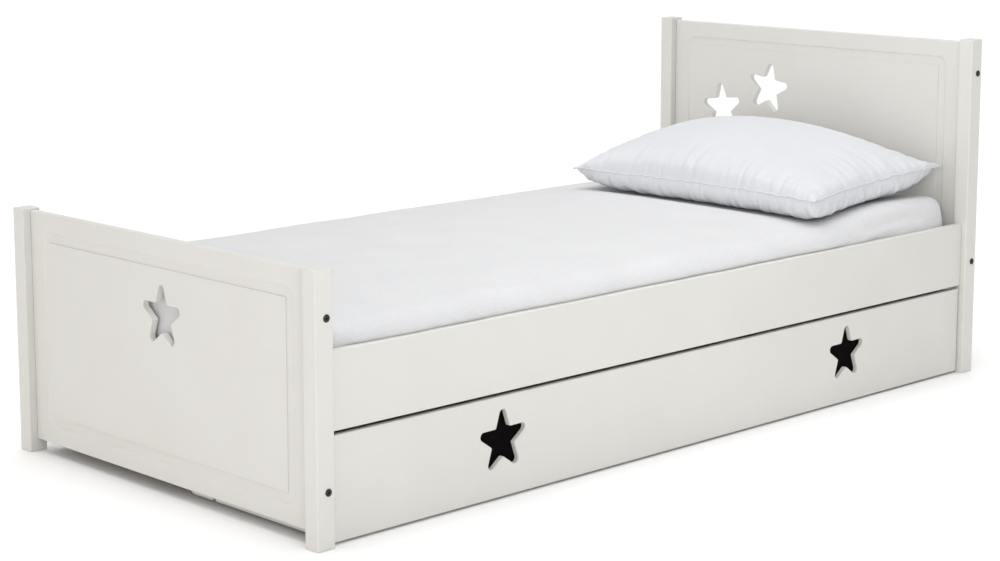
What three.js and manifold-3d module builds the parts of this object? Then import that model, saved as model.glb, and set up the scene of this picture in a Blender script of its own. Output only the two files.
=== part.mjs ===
// A trundle bed for a 900 x 2000 mattress: painted end frames and side rails, a slatted base, and a
// second low bed on castors that rolls out from under it.
//
// Millimetres. +X runs towards the head end, -Y towards the side the trundle comes out of, +Z is up.
// The origin is on the floor under the middle of the bed.

import * as THREE from 'three';
import { mergeVertices } from 'three/addons/utils/BufferGeometryUtils.js';
import Module from 'manifold-3d';

const wasm = await Module();
wasm.setup();

// Driving dimensions -----------------------------------------------------------------------------

const BED_LENGTH = 2080;
const BED_WIDTH = 1000;
const GAP = 0.3; // between pieces that touch
const EASE = 2; // rounding of the painted edges

const POST = { x: 42, y: 38, foot: 526, head: 818 };

const PANEL = {
  thickness: 16,
  recess: 18, // from the post's foot-facing face to the panel's
  foot: { bottom: 28, top: 522 },
  head: { bottom: 200, top: 811 },
};

// The routed border of a panel: a shallow groove with a round outer edge and a sharp inner one,
// `side` from the posts and `end` from the panel's upper and lower edges.
const ROUTED = { side: 48, end: 39, width: 22, depth: 2.4, cove: 6 };

const STAR = { tip: 64, tipRound: 9, notch: 33, notchRound: 4 };
const FOOT_STARS = [{ y: 0, z: 363, turn: 0 }];
const HEAD_STARS = [
  { y: 297, z: 587, turn: -6 },
  { y: 141, z: 651, turn: 8.5 },
];

const BOLT = {
  head: 7.5,
  headHeight: 1.8,
  headRim: 0.7,
  shank: 3,
  tipTaper: 1,
  length: 62,
  hole: 3.5,
  holeBeyond: 4, // depth of the hole past the end of the bolt
  socket: 2.6,
  socketDepth: 3,
};
const BARREL_NUT = { hole: 5.2, fromEdge: 30, depth: 13 };
const FOOT_BOLT_Z = [110, 436];
const HEAD_BOLT_Z = [276, 736];

const RAIL = { bottom: 218, top: 369, thickness: 20, recess: 13 };
const HOOK = {
  thickness: 3,
  height: 110,
  inRail: 28,
  inPost: 14,
  slack: 0.4,
  tooth: 26, // height of one hook
  drop: 10, // how far its nose hangs below its neck
  neck: 5,
  fromEnd: 6, // plate left below the lower hook, and rise of the sloped back of each hook
};

const LEDGE = { width: 25, height: 25, endClear: 24 };
const SLAT = { count: 10, width: 80, thickness: 18, top: 270, endClear: 4 };

const MATTRESS = { length: 2000, width: 900, height: 158, corner: 52, shoulder: 44, headX: 1004 };
const PILLOW = { x: 500, y: 780, up: 128, down: 44, centreX: 736, centreY: -50, fullness: 0.42 };

const TRUNDLE = {
  halfLength: 994,
  frontThickness: 13,
  boardThickness: 16,
  frontRecess: 15,
  frontBottom: 5,
  frontTop: 210,
  boardTop: 206,
  boardBottom: 30,
  skirtBottom: 9, // the front half of each end board reaches lower
  skirtEndY: -54,
  notch: { y: -124, width: 9, height: 7 },
  backY: 455, // outer face of the back board
  starX: 553,
  starZ: 119,
};
const TRUNDLE_LEDGE = { width: 25, height: 25, top: 65 };
const TRUNDLE_SLAT = { count: 6, width: 80, thickness: 15 };
const BEARER = { x: 880, width: 64, height: 22 };

const CASTOR = {
  y: 370,
  radius: 18,
  width: 16,
  hub: 8,
  axle: 2.5,
  running: 0.35, // radial clearance of the wheel on its axle
  plate: [50, 58, 2], // along X, along Y, thickness
  cheek: 2,
  cheekTop: 19, // half width of a cheek at its plate
  cheekFoot: 7.6, // radius of its round foot about the axle
  footTurn: 0.1 * Math.PI, // how far below the axle line the round foot begins
  sideClear: 1,
  tread: 4.5, // radial depth of the tyre
  dish: 2.5, // how far the wheel's web lies inside its hub
  crown: 1.6, // rounding of the tyre's shoulders
  rivet: 1.7, // how far the rivet heads stand out around the axle, and nearly their height
};

// Materials --------------------------------------------------------------------------------------

const finish = (color, roughness, metalness = 0) => () =>
  new THREE.MeshStandardMaterial({ color, roughness, metalness });

const paint = finish('#e6e5e0', 0.42);
const bareWood = finish('#d9bf94', 0.7);
const zinc = finish('#9da19c', 0.35, 0.9);
const tyreRubber = finish('#3a3b3d', 0.8);
const ticking = finish('#eeeeef', 0.95);
const cotton = finish('#f1f1f4', 0.95);

// Shapes -----------------------------------------------------------------------------------------

const AXES = { x: new THREE.Vector3(1, 0, 0), y: new THREE.Vector3(0, 1, 0), z: new THREE.Vector3(0, 0, 1) };
const DOWN_Y = new THREE.Vector3(0, -1, 0);

// Turns a flat-drawn extrusion upright: drawn in Y and Z, thick along +X.
const standAcross = (geometry) =>
  geometry.applyMatrix4(new THREE.Matrix4().makeBasis(AXES.y, AXES.z, AXES.x));

// Turns a flat-drawn extrusion upright: drawn in X and Z, thick along -Y.
const standAlong = (geometry) =>
  geometry.applyMatrix4(new THREE.Matrix4().makeBasis(AXES.x, AXES.z, DOWN_Y));

function rectangle(x0, y0, x1, y1, radius = 0) {
  const shape = new THREE.Shape();
  if (radius === 0) {
    shape.moveTo(x0, y0).lineTo(x1, y0).lineTo(x1, y1).lineTo(x0, y1).closePath();
    return shape;
  }
  shape.moveTo(x0 + radius, y0);
  shape.absarc(x1 - radius, y0 + radius, radius, -Math.PI / 2, 0);
  shape.absarc(x1 - radius, y1 - radius, radius, 0, Math.PI / 2);
  shape.absarc(x0 + radius, y1 - radius, radius, Math.PI / 2, Math.PI);
  shape.absarc(x0 + radius, y0 + radius, radius, Math.PI, Math.PI * 1.5);
  return shape;
}

// A solid of the drawn shape, from height 0 to depth, its rims rounded by `ease`.
function slab(shape, depth, ease = EASE, curveSegments = 3, bevelSegments = 2) {
  return new THREE.ExtrudeGeometry(shape, {
    depth: depth - 2 * ease,
    bevelEnabled: ease > 0,
    bevelThickness: ease,
    bevelSize: ease,
    bevelOffset: -ease,
    bevelSegments,
    curveSegments,
  }).translate(0, 0, ease);
}

// A plain block between two corners.
function block(low, high) {
  const size = high.map((value, axis) => value - low[axis]);
  const middle = high.map((value, axis) => (value + low[axis]) / 2);
  return new THREE.BoxGeometry(...size).translate(...middle);
}

// A board between two corners with all its edges eased, in one or more steps.
function board(low, high, ease = EASE, steps = 2) {
  const shape = rectangle(low[0], low[1], high[0], high[1], 1.3 * ease);
  return slab(shape, high[2] - low[2], ease, steps, steps).translate(0, 0, low[2]);
}

// A round bar along X or Y, centred on a point.
function bar(axis, radius, length, centre, sides = 16) {
  const cylinder = new THREE.CylinderGeometry(radius, radius, length, sides);
  if (axis === 'x') cylinder.rotateZ(-Math.PI / 2);
  return cylinder.translate(...centre);
}

// A five-pointed star with round tips and softened notches. Each straight side touches the round of
// a tip on its inside and the round of the next notch on its outside.
function starPath(centreU, centreV, turnDegrees, target = new THREE.Path()) {
  const tipCentre = STAR.tip - STAR.tipRound;
  const notchCentre = STAR.notch + STAR.notchRound;
  const half = Math.PI / 5;
  const reach = Math.hypot(notchCentre * Math.cos(half) - tipCentre, notchCentre * Math.sin(half));
  const heading = Math.atan2(notchCentre * Math.sin(half), notchCentre * Math.cos(half) - tipCentre);
  const swing = Math.acos((STAR.tipRound + STAR.notchRound) / reach);
  const touch = heading - swing; // direction of the touching point, from a tip pointing along +U
  for (let arm = 0; arm < 5; arm += 1) {
    const facing = Math.PI / 2 + THREE.MathUtils.degToRad(turnDegrees) + arm * 2 * half;
    const notchFacing = facing + half;
    const tipU = centreU + tipCentre * Math.cos(facing);
    const tipV = centreV + tipCentre * Math.sin(facing);
    const notchU = centreU + notchCentre * Math.cos(notchFacing);
    const notchV = centreV + notchCentre * Math.sin(notchFacing);
    const next = 2 * half - touch + Math.PI;
    target.absarc(tipU, tipV, STAR.tipRound, facing - touch, facing + touch, false);
    target.absarc(notchU, notchV, STAR.notchRound, facing + touch + Math.PI, facing + next, true);
  }
  return target;
}

// Solids that are cut or joined ------------------------------------------------------------------

function solid(geometry) {
  const bare = geometry.clone();
  bare.deleteAttribute('normal');
  bare.deleteAttribute('uv');
  const merged = mergeVertices(bare, 1e-4);
  const vertProperties = new Float32Array(merged.attributes.position.array);
  const corners = merged.index.array;
  const kept = [];
  for (let first = 0; first < corners.length; first += 3) {
    const [a, b, c] = corners.slice(first, first + 3);
    if (a !== b && b !== c && c !== a) kept.push(a, b, c);
  }
  const triVerts = new Uint32Array(kept);
  return new wasm.Manifold(new wasm.Mesh({ numProp: 3, vertProperties, triVerts }));
}

function toGeometry(manifold) {
  const mesh = manifold.getMesh();
  const geometry = new THREE.BufferGeometry();
  geometry.setAttribute('position', new THREE.BufferAttribute(new Float32Array(mesh.vertProperties), 3));
  geometry.setIndex(new THREE.BufferAttribute(new Uint32Array(mesh.triVerts), 1));
  geometry.computeVertexNormals();
  return geometry;
}

const cut = (body, tools) =>
  toGeometry(tools.reduce((left, tool) => left.subtract(solid(tool)), solid(body)));
const join = (pieces) => toGeometry(pieces.map(solid).reduce((sum, piece) => sum.add(piece)));

// The object -------------------------------------------------------------------------------------

const bed = new THREE.Group();

function place(name, geometry, material) {
  const mesh = new THREE.Mesh(geometry, material());
  mesh.name = name;
  bed.add(mesh);
}

const halfLength = BED_LENGTH / 2;
const halfWidth = BED_WIDTH / 2;
const postInnerX = halfLength - POST.x;
const postInnerY = halfWidth - POST.y;
const SIDES = { near: -1, far: 1 }; // near is the side the trundle comes out of
const ENDS = {
  foot: { low: -halfLength, height: POST.foot, bolts: FOOT_BOLT_Z, stars: FOOT_STARS, span: PANEL.foot },
  head: { low: postInnerX, height: POST.head, bolts: HEAD_BOLT_Z, stars: HEAD_STARS, span: PANEL.head },
};
const railY = halfWidth - RAIL.recess - RAIL.thickness / 2; // middle of a rail's thickness
const railZ = (RAIL.bottom + RAIL.top) / 2;

// Foot-facing face of an end panel, and the plane its bolts lie in.
const panelFaceX = (end) => end.low + PANEL.recess;
const boltX = (end) => panelFaceX(end) + PANEL.thickness / 2;

// End frames: posts, panels and the bolts that hold them together.

function post(end, endName, side) {
  const low = side < 0 ? -halfWidth : postInnerY;
  const body = board([end.low, low, 0], [end.low + POST.x, low + POST.y, end.height]);
  const middleY = low + POST.y / 2;
  const holes = end.bolts.map((z) => bar('y', BOLT.hole, POST.y + 2, [boltX(end), middleY, z]));
  const innerX = endName === 'foot' ? end.low + POST.x : end.low;
  const inward = endName === 'foot' ? -1 : 1;
  const deep = innerX + inward * (HOOK.inPost + HOOK.slack);
  const slotHalf = HOOK.thickness / 2 + HOOK.slack;
  const slot = block(
    [Math.min(deep, innerX - inward), side * railY - slotHalf, railZ - HOOK.height / 2 - HOOK.slack],
    [Math.max(deep, innerX - inward), side * railY + slotHalf, railZ + HOOK.height / 2 + HOOK.slack],
  );
  return cut(body, [...holes, slot]);
}

function routedBorder(span, faceX) {
  const outerY = postInnerY - ROUTED.side;
  const lowZ = span.bottom + ROUTED.end;
  const highZ = span.top - ROUTED.end;
  const wide = rectangle(-outerY, lowZ, outerY, highZ, ROUTED.width);
  const floor = new THREE.ExtrudeGeometry(wide, {
    depth: ROUTED.depth,
    bevelThickness: ROUTED.depth,
    bevelSize: ROUTED.cove,
    bevelOffset: -ROUTED.cove,
    bevelSegments: 3,
    curveSegments: 3,
  });
  const innerY = outerY - ROUTED.width;
  const inner = rectangle(-innerY, lowZ + ROUTED.width, innerY, highZ - ROUTED.width);
  const field = standAcross(slab(inner, 4 * ROUTED.depth, 0)).translate(-2 * ROUTED.depth, 0, 0);
  const ring = solid(standAcross(floor)).subtract(solid(field));
  return toGeometry(ring).translate(faceX - ROUTED.depth, 0, 0);
}

function panel(end) {
  const halfY = postInnerY - GAP;
  const outline = rectangle(-halfY, end.span.bottom, halfY, end.span.top);
  outline.holes = end.stars.map((star) => starPath(star.y, star.z, star.turn));
  const sheet = standAcross(slab(outline, PANEL.thickness, EASE, 3, 2)).translate(panelFaceX(end), 0, 0);
  const backX = panelFaceX(end) + PANEL.thickness;
  const tools = [routedBorder(end.span, panelFaceX(end))];
  for (const z of end.bolts) {
    for (const side of Object.values(SIDES)) {
      const reach = BOLT.length - POST.y + BOLT.holeBeyond;
      const nutY = side * (halfY - BARREL_NUT.fromEdge);
      tools.push(bar('y', BOLT.hole, reach * 2, [boltX(end), side * halfY, z]));
      tools.push(bar('x', BARREL_NUT.hole, BARREL_NUT.depth * 2, [backX, nutY, z]));
    }
  }
  return cut(sheet, tools);
}

// A flat-headed bolt with a hexagon socket, its head outside the post and its shank pointing inwards.
function bolt(side) {
  const outline = [
    [0, BOLT.headHeight],
    [BOLT.head - BOLT.headRim, BOLT.headHeight],
    [BOLT.head, BOLT.headHeight - BOLT.headRim],
    [BOLT.head, GAP],
    [BOLT.shank, GAP],
    [BOLT.shank, -BOLT.length + 2 * BOLT.tipTaper],
    [BOLT.shank - BOLT.tipTaper, -BOLT.length],
    [0, -BOLT.length],
  ].reverse();
  const turned = new THREE.LatheGeometry(outline.map(([r, y]) => new THREE.Vector2(r, y)), 18);
  const socket = new THREE.CylinderGeometry(BOLT.socket, BOLT.socket, 2 * BOLT.socketDepth, 6);
  const made = cut(turned, [socket.translate(0, BOLT.headHeight, 0)]);
  return side > 0 ? made : made.rotateX(Math.PI);
}

for (const [endName, end] of Object.entries(ENDS)) {
  place(`${endName}_panel`, panel(end), paint);
  for (const [sideName, side] of Object.entries(SIDES)) {
    place(`${endName}_post_${sideName}`, post(end, endName, side), paint);
    end.bolts.forEach((z, index) => {
      const name = `${endName}_bolt_${sideName}_${index === 0 ? 'lower' : 'upper'}`;
      place(name, bolt(side).translate(boltX(end), side * halfWidth, z), zinc);
    });
  }
}

// Side rails, the hook plates at their ends, and the ledges inside them.

function rail(side) {
  const faceY = halfWidth - RAIL.recess;
  const y = [side * faceY, side * (faceY - RAIL.thickness)].sort((a, b) => a - b);
  const endX = postInnerX - GAP;
  const body = board([-endX, y[0], RAIL.bottom], [endX, y[1], RAIL.top]);
  const slotHalf = HOOK.thickness / 2 + HOOK.slack;
  const slots = [-1, 1].map((end) => {
    const x = [end * (endX + 1), end * (endX - HOOK.inRail - HOOK.slack)].sort((a, b) => a - b);
    return block(
      [x[0], side * railY - slotHalf, railZ - HOOK.height / 2 - HOOK.slack],
      [x[1], side * railY + slotHalf, railZ + HOOK.height / 2 + HOOK.slack],
    );
  });
  return cut(body, slots);
}

// A steel plate let into the end of a rail, with two hooks that drop into the post.
function hookPlate(end, side) {
  const half = HOOK.height / 2;
  const { tooth, drop, neck, fromEnd } = HOOK;
  const shape = new THREE.Shape();
  shape.moveTo(-HOOK.inRail, -half).lineTo(0, -half);
  for (const low of [-half + fromEnd, half - tooth - 2 * fromEnd]) {
    shape.lineTo(0, low + drop).lineTo(neck, low + drop).lineTo(neck, low);
    shape.lineTo(HOOK.inPost, low).lineTo(HOOK.inPost, low + tooth).lineTo(0, low + tooth + fromEnd);
  }
  shape.lineTo(0, half).lineTo(-HOOK.inRail, half).closePath();
  const plate = standAlong(slab(shape, HOOK.thickness, 0)).translate(0, HOOK.thickness / 2, 0);
  if (end < 0) plate.rotateZ(Math.PI);
  return plate.translate(end * postInnerX, side * railY, railZ);
}

for (const [sideName, side] of Object.entries(SIDES)) {
  place(`side_rail_${sideName}`, rail(side), paint);
  place(`rail_hook_foot_${sideName}`, hookPlate(-1, side), zinc);
  place(`rail_hook_head_${sideName}`, hookPlate(1, side), zinc);
  const innerY = halfWidth - RAIL.recess - RAIL.thickness - GAP;
  const y = [side * innerY, side * (innerY - LEDGE.width)].sort((a, b) => a - b);
  const ledgeTop = SLAT.top - SLAT.thickness - GAP;
  const reach = postInnerX - LEDGE.endClear;
  const ledge = board([-reach, y[0], ledgeTop - LEDGE.height], [reach, y[1], ledgeTop], 1, 1);
  place(`slat_ledge_${sideName}`, ledge, bareWood);
}

// Slats: evenly spaced boards from ledge to ledge.

function slatRow(name, count, first, last, low, high, width, thickness) {
  for (let index = 0; index < count; index += 1) {
    const middle = first + ((last - first) * index) / (count - 1);
    const corner = [middle + width / 2, high[0], high[1] + thickness];
    place(`${name}_${index + 1}`, board([middle - width / 2, low, high[1]], corner, 1.5, 1), bareWood);
  }
}

const slatReach = halfWidth - RAIL.recess - RAIL.thickness - SLAT.endClear;
const slatEndX = postInnerX - LEDGE.endClear - SLAT.width / 2 - 10;
slatRow('bed_slat', SLAT.count, -slatEndX, slatEndX, -slatReach, [slatReach, SLAT.top - SLAT.thickness],
  SLAT.width, SLAT.thickness);

// Mattress and pillow: simple solids of their outer size.

const mattressPlan = rectangle(
  MATTRESS.headX - MATTRESS.length, -MATTRESS.width / 2, MATTRESS.headX, MATTRESS.width / 2, MATTRESS.corner,
);
const mattressBody = slab(mattressPlan, MATTRESS.height, MATTRESS.shoulder, 3, 4);
place('mattress', mattressBody.translate(0, 0, SLAT.top + GAP), ticking);

// A pillow: a ball spread out to a rectangle, thin at its four edges and full in the middle.
function pillow() {
  const ball = new THREE.SphereGeometry(1, 32, 12).rotateX(Math.PI / 2);
  const position = ball.attributes.position;
  const spread = 2 * Math.SQRT2;
  for (let index = 0; index < position.count; index += 1) {
    const x = position.getX(index);
    const y = position.getY(index);
    const z = position.getZ(index);
    const skew = x * x - y * y;
    const root = (value) => Math.sqrt(Math.max(value, 0));
    const u = (root(2 + skew + spread * x) - root(2 + skew - spread * x)) / 2;
    const v = (root(2 - skew + spread * y) - root(2 - skew - spread * y)) / 2;
    const fill = (root(1 - u * u) * root(1 - v * v)) ** (2 * PILLOW.fullness);
    const side = Math.abs(z) < 1e-6 ? 0 : Math.sign(z);
    const height = side > 0 ? PILLOW.up : PILLOW.down;
    position.setXYZ(index, (u * PILLOW.x) / 2, (v * PILLOW.y) / 2, side * height * fill);
  }
  return toGeometry(solid(ball));
}

const pillowZ = SLAT.top + 2 * GAP + MATTRESS.height + PILLOW.down;
place('pillow', pillow().translate(PILLOW.centreX, PILLOW.centreY, pillowZ), cotton);

// The trundle: four boards, ledges, bearers and slats.

const frontOuterY = -halfWidth + TRUNDLE.frontRecess;
const frontInnerY = frontOuterY + TRUNDLE.frontThickness;
const backInnerY = TRUNDLE.backY - TRUNDLE.boardThickness;

function trundleFront() {
  const reach = TRUNDLE.halfLength;
  const outline = rectangle(-reach, TRUNDLE.frontBottom, reach, TRUNDLE.frontTop);
  outline.holes = [-TRUNDLE.starX, TRUNDLE.starX].map((x) => starPath(x, TRUNDLE.starZ, 1));
  return standAlong(slab(outline, TRUNDLE.frontThickness, EASE, 3, 2)).translate(0, frontInnerY, 0);
}

function trundleEnd(end) {
  const { skirtEndY, skirtBottom, boardBottom, boardTop, notch } = TRUNDLE;
  const step = boardBottom - skirtBottom;
  const shape = new THREE.Shape();
  shape.moveTo(frontInnerY + GAP, skirtBottom);
  shape.lineTo(notch.y - notch.width / 2, skirtBottom);
  shape.lineTo(notch.y - notch.width / 2, skirtBottom + notch.height);
  shape.lineTo(notch.y + notch.width / 2, skirtBottom + notch.height);
  shape.lineTo(notch.y + notch.width / 2, skirtBottom);
  shape.lineTo(skirtEndY, skirtBottom);
  shape.lineTo(skirtEndY + step, boardBottom);
  shape.lineTo(backInnerY - GAP, boardBottom);
  shape.lineTo(backInnerY - GAP, boardTop);
  shape.lineTo(frontInnerY + GAP, boardTop);
  shape.closePath();
  const low = end < 0 ? -TRUNDLE.halfLength : TRUNDLE.halfLength - TRUNDLE.boardThickness;
  return standAcross(slab(shape, TRUNDLE.boardThickness, 1.5)).translate(low, 0, 0);
}

place('trundle_front', trundleFront(), paint);
place('trundle_end_foot', trundleEnd(-1), paint);
place('trundle_end_head', trundleEnd(1), paint);
place('trundle_back', board(
  [-TRUNDLE.halfLength, backInnerY, TRUNDLE.boardBottom],
  [TRUNDLE.halfLength, TRUNDLE.backY, TRUNDLE.boardTop],
), paint);

const trayX = TRUNDLE.halfLength - TRUNDLE.boardThickness - GAP;
const trayLowY = frontInnerY + GAP;
const trayHighY = backInnerY - GAP;
const ledgeBottom = TRUNDLE_LEDGE.top - TRUNDLE_LEDGE.height;
place('trundle_ledge_front', board(
  [-trayX, trayLowY, ledgeBottom],
  [trayX, trayLowY + TRUNDLE_LEDGE.width, TRUNDLE_LEDGE.top],
  1,
  1,
), bareWood);
place('trundle_ledge_back', board(
  [-trayX, trayHighY - TRUNDLE_LEDGE.width, ledgeBottom],
  [trayX, trayHighY, TRUNDLE_LEDGE.top],
  1,
  1,
), bareWood);

const bearerBottom = TRUNDLE_LEDGE.top - BEARER.height;
for (const [endName, end] of [['foot', -1], ['head', 1]]) {
  place(`trundle_bearer_${endName}`, board(
    [end * BEARER.x - BEARER.width / 2, trayLowY + TRUNDLE_LEDGE.width + GAP, bearerBottom],
    [end * BEARER.x + BEARER.width / 2, trayHighY - TRUNDLE_LEDGE.width - GAP, TRUNDLE_LEDGE.top],
    1,
    1,
  ), bareWood);
}

const traySlatX = trayX - TRUNDLE_SLAT.width / 2 - 10;
slatRow('trundle_slat', TRUNDLE_SLAT.count, -traySlatX, traySlatX, trayLowY + GAP,
  [trayHighY - GAP, TRUNDLE_LEDGE.top + GAP], TRUNDLE_SLAT.width, TRUNDLE_SLAT.thickness);

// Castors: a folded bracket under a bearer, a wheel and the riveted axle it turns on. The wheels
// roll along Y.

function castorBracket() {
  const [plateX, plateY, plateZ] = CASTOR.plate;
  const top = bearerBottom - GAP;
  const inner = CASTOR.width / 2 + CASTOR.sideClear;
  const plate = block([-plateX / 2, -plateY / 2, top - plateZ], [plateX / 2, plateY / 2, top]);
  const cheeks = [-1, 1].map((side) => {
    const shape = new THREE.Shape();
    shape.moveTo(-CASTOR.cheekTop, top - plateZ / 2);
    const { cheekFoot, footTurn, radius } = CASTOR;
    shape.absarc(0, radius, cheekFoot, Math.PI + footTurn, 2 * Math.PI - footTurn);
    shape.lineTo(CASTOR.cheekTop, top - plateZ / 2);
    shape.closePath();
    const sheet = standAcross(slab(shape, CASTOR.cheek, 0, 4));
    return sheet.translate(side > 0 ? inner : -inner - CASTOR.cheek, 0, 0);
  });
  const body = join([plate, ...cheeks]);
  const bore = bar('x', CASTOR.axle + GAP, 2 * (inner + CASTOR.cheek + 1), [0, 0, CASTOR.radius]);
  return cut(body, [bore]);
}

// Turns a lathed profile, given as [radius, position along X], into a solid about the axle line.
const turnedAboutAxle = (profile, sides) =>
  new THREE.LatheGeometry(profile.map(([r, x]) => new THREE.Vector2(r, x)), sides)
    .rotateZ(-Math.PI / 2)
    .translate(0, 0, CASTOR.radius);

function castorWheel() {
  const half = CASTOR.width / 2;
  const bore = CASTOR.axle + CASTOR.running;
  const { hub, radius, tread, dish, crown } = CASTOR;
  return turnedAboutAxle([
    [bore, -half],
    [hub, -half],
    [hub + 1, -half + dish],
    [radius - tread, -half + dish],
    [radius - tread + 1, -half + crown / 3],
    [radius - crown, -half + crown / 3],
    [radius, -half + 2 * crown],
    [radius, half - 2 * crown],
    [radius - crown, half - crown / 3],
    [radius - tread + 1, half - crown / 3],
    [radius - tread, half - dish],
    [hub + 1, half - dish],
    [hub, half],
    [bore, half],
    [bore, -half],
  ], 24);
}

function castorAxle() {
  const outside = CASTOR.width / 2 + CASTOR.sideClear + CASTOR.cheek + GAP;
  const rim = CASTOR.axle + CASTOR.rivet;
  const crest = rim - CASTOR.rivet / 2;
  return turnedAboutAxle([
    [0, -outside - CASTOR.rivet],
    [crest, -outside - CASTOR.rivet],
    [rim, -outside],
    [CASTOR.axle, -outside],
    [CASTOR.axle, outside],
    [rim, outside],
    [crest, outside + CASTOR.rivet],
    [0, outside + CASTOR.rivet],
  ], 14);
}

for (const [endName, end] of [['foot', -1], ['head', 1]]) {
  for (const [sideName, side] of [['front', -1], ['back', 1]]) {
    const where = [end * BEARER.x, side * CASTOR.y, 0];
    place(`castor_bracket_${endName}_${sideName}`, castorBracket().translate(...where), zinc);
    place(`castor_wheel_${endName}_${sideName}`, castorWheel().translate(...where), tyreRubber);
    place(`castor_axle_${endName}_${sideName}`, castorAxle().translate(...where), zinc);
  }
}

export default bed;
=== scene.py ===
import math

import bmesh
import bpy
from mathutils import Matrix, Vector, noise


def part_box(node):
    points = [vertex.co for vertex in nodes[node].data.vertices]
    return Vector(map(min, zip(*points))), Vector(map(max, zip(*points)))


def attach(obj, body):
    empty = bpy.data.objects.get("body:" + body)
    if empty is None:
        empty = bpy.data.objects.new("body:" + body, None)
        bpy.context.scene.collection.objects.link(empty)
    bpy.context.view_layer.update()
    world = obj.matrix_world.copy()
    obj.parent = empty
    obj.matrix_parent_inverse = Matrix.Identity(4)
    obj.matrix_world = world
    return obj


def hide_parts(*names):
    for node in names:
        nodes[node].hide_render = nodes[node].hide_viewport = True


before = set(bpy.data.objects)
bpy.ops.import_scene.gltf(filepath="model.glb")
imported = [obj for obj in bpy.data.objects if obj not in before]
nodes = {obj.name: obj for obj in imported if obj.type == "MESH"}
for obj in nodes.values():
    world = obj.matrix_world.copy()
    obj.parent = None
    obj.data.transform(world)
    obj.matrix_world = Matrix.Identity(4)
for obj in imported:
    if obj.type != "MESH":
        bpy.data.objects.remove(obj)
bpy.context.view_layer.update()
scene = bpy.context.scene

# The camera -------------------------------------------------------------------------------------

CAMERA_PLACE = (-3.561, -3.5862, 1.2881)
CAMERA_YAW = 44.036  # from +Y towards +X
CAMERA_PITCH = 9.058  # down
CAMERA_LENS = 81.07
CAMERA_SENSOR = 36
CAMERA_SHIFT_Y = -0.08
CAMERA_REACH = 60

camera_data = bpy.data.cameras.new("camera")
camera_data.lens = CAMERA_LENS
camera_data.sensor_width = CAMERA_SENSOR
camera_data.shift_y = CAMERA_SHIFT_Y
camera_data.clip_end = CAMERA_REACH
camera = bpy.data.objects.new("camera", camera_data)
camera.location = CAMERA_PLACE
camera.rotation_euler = (math.radians(90 - CAMERA_PITCH), 0, math.radians(-CAMERA_YAW))
scene.collection.objects.link(camera)
scene.camera = camera

# Light and floor --------------------------------------------------------------------------------

WORLD_LIGHT = {"strength": 0.5, "colour": (1, 0.985, 0.965)}
SUN_HEIGHT = 4
SUNS = {
    "overhead": {"strength": 1.95, "spread": 62, "tilt": (2, -5), "colour": (0.985, 0.99, 1.0)},
    "foot_glow": {"strength": 0.18, "spread": 45, "tilt": (-70, 0), "colour": (1, 0.965, 0.92)},
}
SOFTBOXES = {
    "front_softbox": {
        "place": (-2.1, -2.6, 1.1),
        "aim": (-0.9, -0.5, 0.3),
        "size": (1.5, 1.2),
        "power": 19,
    },
    "top_softbox": {
        "place": (-0.4, -0.2, 2.2),
        "aim": (0.9, 0.0, 0.55),
        "size": (1.1, 1.1),
        "power": 3,
    },
    "foot_softbox": {
        "place": (-3.3, 0.4, 0.3),
        "aim": (-1.0, 0.0, 0.15),
        "size": (1.6, 0.4),
        "power": 4,
        "colour": (1.0, 0.86, 0.72),
    },
    "head_softbox": {
        "place": (-1.6, -1.9, 1.35),
        "aim": (1.0, -0.05, 0.56),
        "size": (0.9, 0.7),
        "power": 2.1,
        "spread": math.radians(60),
    },
}

scene.view_settings.view_transform = "Standard"
world = bpy.data.worlds.new("studio")
scene.world = world
world.use_nodes = True
background = world.node_tree.nodes["Background"]
background.inputs["Color"].default_value = (*WORLD_LIGHT["colour"], 1)
background.inputs["Strength"].default_value = WORLD_LIGHT["strength"]


def add_light(name, kind, place, rotation, **settings):
    data = bpy.data.lights.new(name, kind)
    for key, value in settings.items():
        setattr(data, key, value)
    lamp = bpy.data.objects.new(name, data)
    lamp.location = place
    lamp.rotation_euler = rotation
    lamp.visible_camera = False
    scene.collection.objects.link(lamp)


for name, sun in SUNS.items():
    add_light(
        name,
        "SUN",
        (0, 0, SUN_HEIGHT),
        (math.radians(sun["tilt"][1]), math.radians(sun["tilt"][0]), 0),
        energy=sun["strength"],
        angle=math.radians(sun["spread"]),
        color=sun["colour"],
    )
for name, box in SOFTBOXES.items():
    direction = Vector(box["aim"]) - Vector(box["place"])
    add_light(
        name,
        "AREA",
        box["place"],
        direction.to_track_quat("-Z", "Y").to_euler(),
        shape="RECTANGLE",
        size=box["size"][0],
        size_y=box["size"][1],
        energy=box["power"],
        color=box.get("colour", (1, 1, 1)),
        spread=box.get("spread", math.pi),
    )

# Materials --------------------------------------------------------------------------------------


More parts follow.
